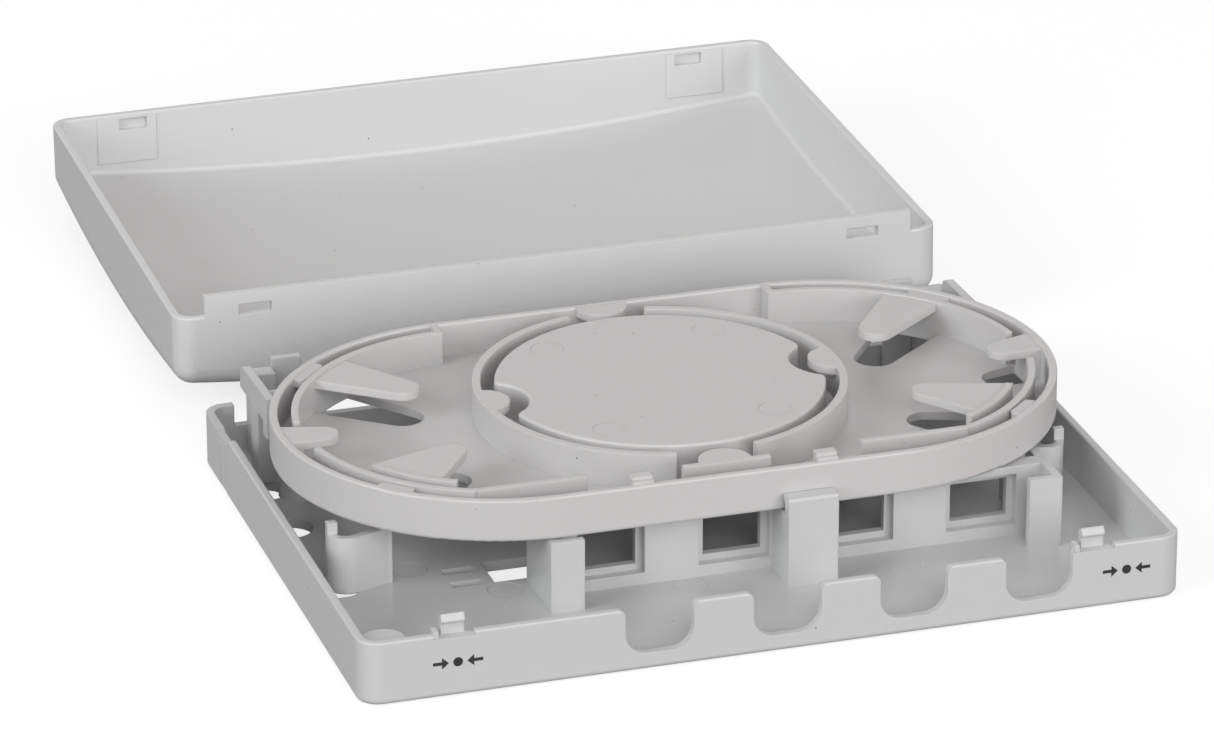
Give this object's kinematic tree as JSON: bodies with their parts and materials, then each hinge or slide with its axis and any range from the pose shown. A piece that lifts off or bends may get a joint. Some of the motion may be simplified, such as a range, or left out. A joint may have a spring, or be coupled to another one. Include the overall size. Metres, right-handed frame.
{
  "type": "fibre termination box",
  "caption": "Open wall box for ending fibre cables: base with adapter windows and cord notches, hinged splice tray, lift-off cover laid beside it.",
  "frame": {"origin": "middle of the base's flat wall face", "axes": "+X along the long side to the right, +Y from the cord notches towards the hinge and the cover, +Z out of the wall face"},
  "size_m": [0.1515, 0.238, 0.0256],
  "materials": {
    "base_plastic": "pale grey moulded plastic, fine satin grain",
    "tray_plastic": "pale warm grey moulded plastic, smooth satin",
    "cover_plastic": "pale grey moulded plastic, fine satin grain"
  },
  "bodies": {
    "base": {"base": "base_plastic"},
    "splice_tray": {"splice_tray": "tray_plastic"},
    "cover": {"cover": "cover_plastic"}
  },
  "joints": [
    {"name": "tray_hinge", "type": "hinge", "parent": "base", "child": "splice_tray", "pos_m": [0, 0.0352, 0.0185], "axis": [-1, 0, 0], "range_deg": [0, 90]},
    {"name": "cover_lift", "type": "slide", "parent": "base", "child": "cover", "axis": [0, 0, 1], "range_m": [0, 0.06]}
  ]
}
